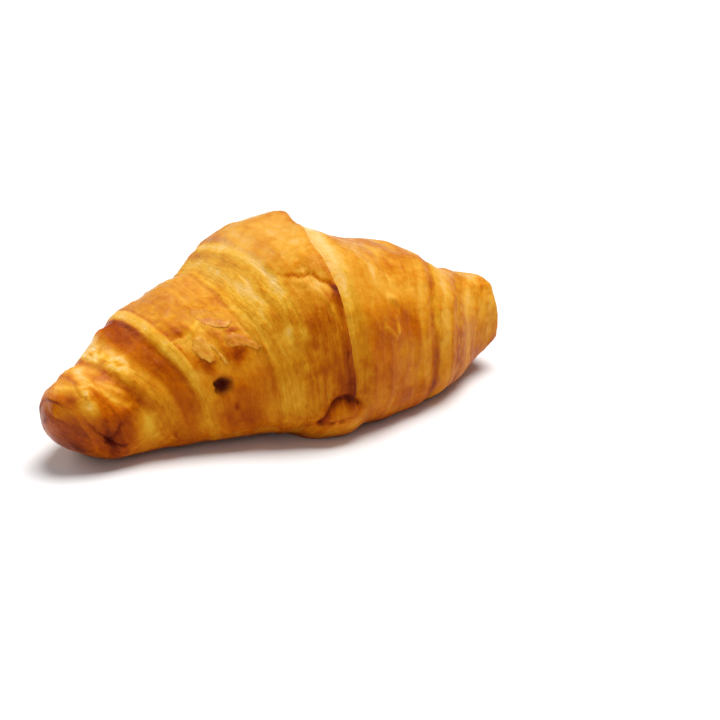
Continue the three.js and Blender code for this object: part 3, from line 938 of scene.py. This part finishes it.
# The colours of the skin and of the opened dough, from pale to dark brown
SKIN_COLOURS = (
    (0.00, linear(238, 206, 166)),
    (0.20, linear(232, 184, 112)),
    (0.38, linear(225, 162, 52)),
    (0.54, linear(208, 129, 18)),
    (0.68, linear(186, 94, 2)),
    (0.80, linear(158, 67, 2)),
    (0.90, linear(126, 44, 3)),
    (1.00, linear(84, 20, 3)),
)
DOUGH_COLOURS = (
    (0.00, linear(241, 213, 160)),
    (0.20, linear(234, 191, 110)),
    (0.38, linear(227, 170, 46)),
    (0.54, linear(209, 137, 20)),
    (0.68, linear(186, 101, 4)),
    (0.80, linear(160, 71, 2)),
    (0.90, linear(126, 46, 3)),
    (1.00, linear(90, 26, 3)),
)
# Near-black brown of the hole and the pits: charred crust, partly painted shade in the hollows
CHAR_AND_HOLLOW_SHADE = linear(64, 9, 1)


def ramp(tree, factor, stops):
    node = tree.nodes.new("ShaderNodeValToRGB")
    elements = node.color_ramp.elements
    while len(elements) < len(stops):
        elements.new(0.5)
    for element, (place, colour) in zip(elements, stops):
        element.position = place
        element.color = colour
    tree.links.new(factor, node.inputs["Fac"])
    return node.outputs["Color"]


def mix_colour(tree, factor, a, b):
    node = tree.nodes.new("ShaderNodeMix")
    node.data_type = "RGBA"
    for socket, value in zip((node.inputs[0], node.inputs[6], node.inputs[7]), (factor, a, b)):
        value_of(tree, socket, value)
    return node.outputs[2]


def bump(tree, height, distance, strength):
    node = tree.nodes.new("ShaderNodeBump")
    node.inputs["Distance"].default_value = distance
    node.inputs["Strength"].default_value = strength
    tree.links.new(height, node.inputs["Height"])
    return node.outputs["Normal"]


def shader(name):
    material = bpy.data.materials.new(name)
    material.use_nodes = True
    tree = material.node_tree
    tree.nodes.clear()
    out = tree.nodes.new("ShaderNodeOutputMaterial")
    skin = tree.nodes.new("ShaderNodeBsdfPrincipled")
    tree.links.new(skin.outputs[0], out.inputs[0])
    return material, tree, skin


def crust_material():
    material, tree, skin = shader("baked_crust")
    tone = attribute(tree, "tone")
    doughy = attribute(tree, "doughy")
    laminated = attribute(tree, "laminated")
    char_and_hollow_shade = attribute(tree, "char_and_hollow_shade")
    even = attribute(tree, "even")
    glossy = attribute(tree, "glossy")
    wind = attribute(tree, "wind", "Vector")
    place = tree.nodes.new("ShaderNodeTexCoord").outputs["Object"]
    fine_streak = noise_node(tree, wind, 2.1, 4.0, 0.60)
    broad_streak = noise_node(tree, wind, 0.55, 2.0, 0.5)
    blotch = noise_node(tree, place, 120.0, 4.0, 0.62, 0.5)
    crumple = noise_node(tree, place, 340.0, 3.0, 0.6, 0.8)
    speck = noise_node(tree, place, 800.0, 3.0, 0.6)
    grain = noise_node(tree, place, 2200.0, 2.0, 0.5)
    streak_weight = maths(tree, "MULTIPLY_ADD", laminated, 0.12, 0.13)
    blotch_weight = maths(tree, "MULTIPLY_ADD", even, -0.20, 0.28)
    shown = weighted_sum(tree, tone, (
        (fine_streak, streak_weight), (broad_streak, 0.10), (blotch, blotch_weight), (crumple, 0.14),
        (speck, 0.10),
    ))
    colour = mix_colour(tree, doughy, ramp(tree, shown, SKIN_COLOURS), ramp(tree, shown, DOUGH_COLOURS))
    # The hole and the pits darkened: charred crust and painted shade in the hollows
    colour = mix_colour(tree, char_and_hollow_shade, colour, CHAR_AND_HOLLOW_SHADE)
    tree.links.new(colour, skin.inputs["Base Color"])
    rough = weighted_sum(tree, maths(tree, "MULTIPLY_ADD", laminated, 0.16, 0.36), (
        (crumple, 0.22), (blotch, 0.20), (shown, -0.14),
    ))
    tree.links.new(rough, skin.inputs["Roughness"])
    ridges = maths(tree, "MULTIPLY", fine_streak, maths(tree, "MULTIPLY_ADD", laminated, 0.7, 0.25))
    relief = weighted_sum(tree, ridges, (
        (crumple, 0.8), (speck, 0.35), (grain, 0.12), (blotch, 0.6),
    ))
    tree.links.new(bump(tree, relief, 0.0008, 0.65), skin.inputs["Normal"])
    skin.inputs["IOR"].default_value = 1.4
    tree.links.new(maths(tree, "MULTIPLY", glossy, 0.38), skin.inputs["Specular IOR Level"])
    tree.links.new(maths(tree, "MULTIPLY", glossy, 0.16), skin.inputs["Coat Weight"])
    skin.inputs["Coat Roughness"].default_value = 0.30
    skin.inputs["Subsurface Weight"].default_value = 0.05
    skin.inputs["Subsurface Radius"].default_value = (1.0, 0.45, 0.12)
    skin.inputs["Subsurface Scale"].default_value = 0.002
    return material


def flake_material():
    material, tree, skin = shader("loose_flake")
    tone = attribute(tree, "tone")
    place = tree.nodes.new("ShaderNodeTexCoord").outputs["Object"]
    blotch = noise_node(tree, place, 260.0, 3.0, 0.6, 0.4)
    speck = noise_node(tree, place, 1100.0, 2.0, 0.6)
    shown = weighted_sum(tree, tone, ((blotch, 0.30), (speck, 0.12)))
    tree.links.new(ramp(tree, shown, SKIN_COLOURS), skin.inputs["Base Color"])
    rough = weighted_sum(tree, 0.50, ((blotch, 0.3),))
    tree.links.new(rough, skin.inputs["Roughness"])
    relief = weighted_sum(tree, blotch, ((speck, 0.4),))
    tree.links.new(bump(tree, relief, 0.0004, 0.5), skin.inputs["Normal"])
    skin.inputs["IOR"].default_value = 1.4
    skin.inputs["Specular IOR Level"].default_value = 0.3
    skin.inputs["Subsurface Weight"].default_value = 0.08
    skin.inputs["Subsurface Radius"].default_value = (1.0, 0.5, 0.2)
    skin.inputs["Subsurface Scale"].default_value = 0.001
    return material


crust = make_crust()
crust.data.materials.append(crust_material())
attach(crust, "root")
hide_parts("croissant")

flakes = make_flakes()
flakes.data.materials.append(flake_material())
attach(flakes, "root")


# The floor, the lights and the camera
def floor_material():
    material, tree, skin = shader("pale_floor")
    place = tree.nodes.new("ShaderNodeTexCoord").outputs["Object"]
    mottle = noise_node(tree, place, 3.0, 3.0, 0.5)
    stops = ((0.0, (0.84, 0.84, 0.84, 1.0)), (1.0, (0.88, 0.88, 0.875, 1.0)))
    tree.links.new(ramp(tree, mottle, stops), skin.inputs["Base Color"])
    skin.inputs["Roughness"].default_value = 0.8
    skin.inputs["Specular IOR Level"].default_value = 0.2
    return material


FLOOR_HALF = 6000.0
FLOOR_BELOW = -0.05
floor = new_object(
    "floor",
    [(x * FLOOR_HALF, y * FLOOR_HALF, FLOOR_BELOW) for x, y in ((-1, -1), (1, -1), (1, 1), (-1, 1))],
    [[0, 1, 2, 3]],
)
floor.data.materials.append(floor_material())

# The camera stands in front, to the left and a little above
CAMERA_TURN = math.radians(-32.15)
CAMERA_RISE = math.radians(19.84)
CAMERA_DISTANCE = 0.6
CAMERA_AIM = Vector((0.0, 0.0, 0.025))
CAMERA_ASIDE = 0.02687
CAMERA_UP = -0.01001
FOCAL_PIXELS = 1979.4
FRAME_PIXELS = 720

back = Vector((
    math.sin(CAMERA_TURN) * math.cos(CAMERA_RISE),
    -math.cos(CAMERA_TURN) * math.cos(CAMERA_RISE),
    math.sin(CAMERA_RISE),
))
right = Vector((math.cos(CAMERA_TURN), math.sin(CAMERA_TURN), 0.0))
upward = back.cross(right)
lens = bpy.data.cameras.new("camera")
lens.sensor_width = 36.0
lens.lens = FOCAL_PIXELS * lens.sensor_width / FRAME_PIXELS
camera = bpy.data.objects.new("camera", lens)
bpy.context.scene.collection.objects.link(camera)
stand = CAMERA_AIM + right * CAMERA_ASIDE + upward * CAMERA_UP + back * CAMERA_DISTANCE
camera.matrix_world = Matrix.Translation(stand) @ Matrix((right, upward, back)).transposed().to_4x4()
bpy.context.scene.camera = camera


def add_lamp(name, data, aside, away, up):
    """A lamp placed in metres to the right of the croissant, away from the camera, and up."""
    lamp = bpy.data.objects.new(name, data)
    bpy.context.scene.collection.objects.link(lamp)
    level = Vector((-back.x, -back.y, 0.0)).normalized()
    lamp.location = right * aside + level * away + Vector((0.0, 0.0, up))
    lamp.rotation_euler = (CAMERA_AIM - lamp.location).to_track_quat("-Z", "Y").to_euler()


def soft_lamp(name, watts, size, *place):
    data = bpy.data.lights.new(name, "AREA")
    data.shape = "DISK"
    data.size = size
    data.energy = watts
    add_lamp(name, data, *place)


# The overhead light is as strong far off as near, which keeps the floor evenly pale
overhead = bpy.data.lights.new("overhead", "SUN")
overhead.energy = 3.75
overhead.angle = math.radians(42)
add_lamp("overhead", overhead, 0.25, 0.20, 1.15)
soft_lamp("window", 3.8, 0.8, -0.95, 0.55, 0.60)
soft_lamp("fill", 2.0, 0.9, -0.35, -1.15, 0.45)

world = bpy.data.worlds.new("studio")
world.use_nodes = True
world.node_tree.nodes["Background"].inputs[0].default_value = (1.0, 1.0, 1.0, 1.0)
world.node_tree.nodes["Background"].inputs[1].default_value = 0.22
bpy.context.scene.world = world
bpy.context.scene.view_settings.view_transform = "Standard"

bpy.context.view_layer.update()
